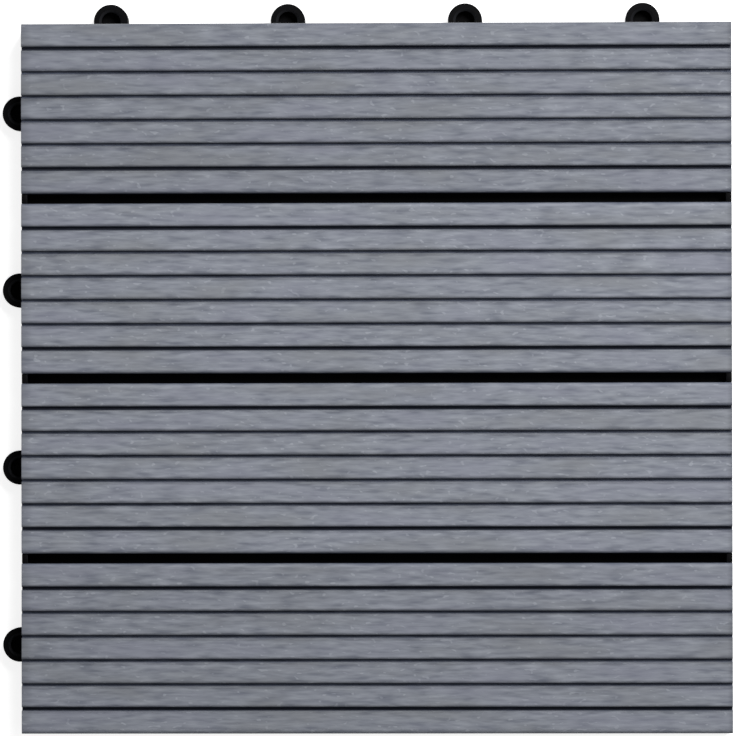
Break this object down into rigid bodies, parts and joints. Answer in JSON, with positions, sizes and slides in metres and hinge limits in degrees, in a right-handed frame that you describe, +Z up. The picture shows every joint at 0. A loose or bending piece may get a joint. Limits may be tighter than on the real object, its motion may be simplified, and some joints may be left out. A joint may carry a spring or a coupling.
{
  "type": "interlocking deck tile",
  "caption": "Square outdoor floor tile of grooved grey composite slats screwed to a black moulded grid, with round sockets on two sides and pegs under the other two that lock tiles together.",
  "frame": {"origin": "centre of the square deck, on the ground, at the underside of the base's middle foot", "axes": "+Z up, X along the slats, sockets on the -X and +Y sides"},
  "size_m": [0.3081, 0.3081, 0.022],
  "materials": {
    "composite": "brushed grey wood-plastic composite, matt",
    "moulded_base": "black moulded polypropylene, satin",
    "screw_steel": "zinc-plated steel"
  },
  "bodies": {
    "root": {"base_grid": "moulded_base", "slat_1": "composite", "slat_2": "composite", "slat_3": "composite", "slat_4": "composite", "screws_slat_1": "screw_steel", "screws_slat_2": "screw_steel", "screws_slat_3": "screw_steel", "screws_slat_4": "screw_steel"}
  },
  "joints": []
}
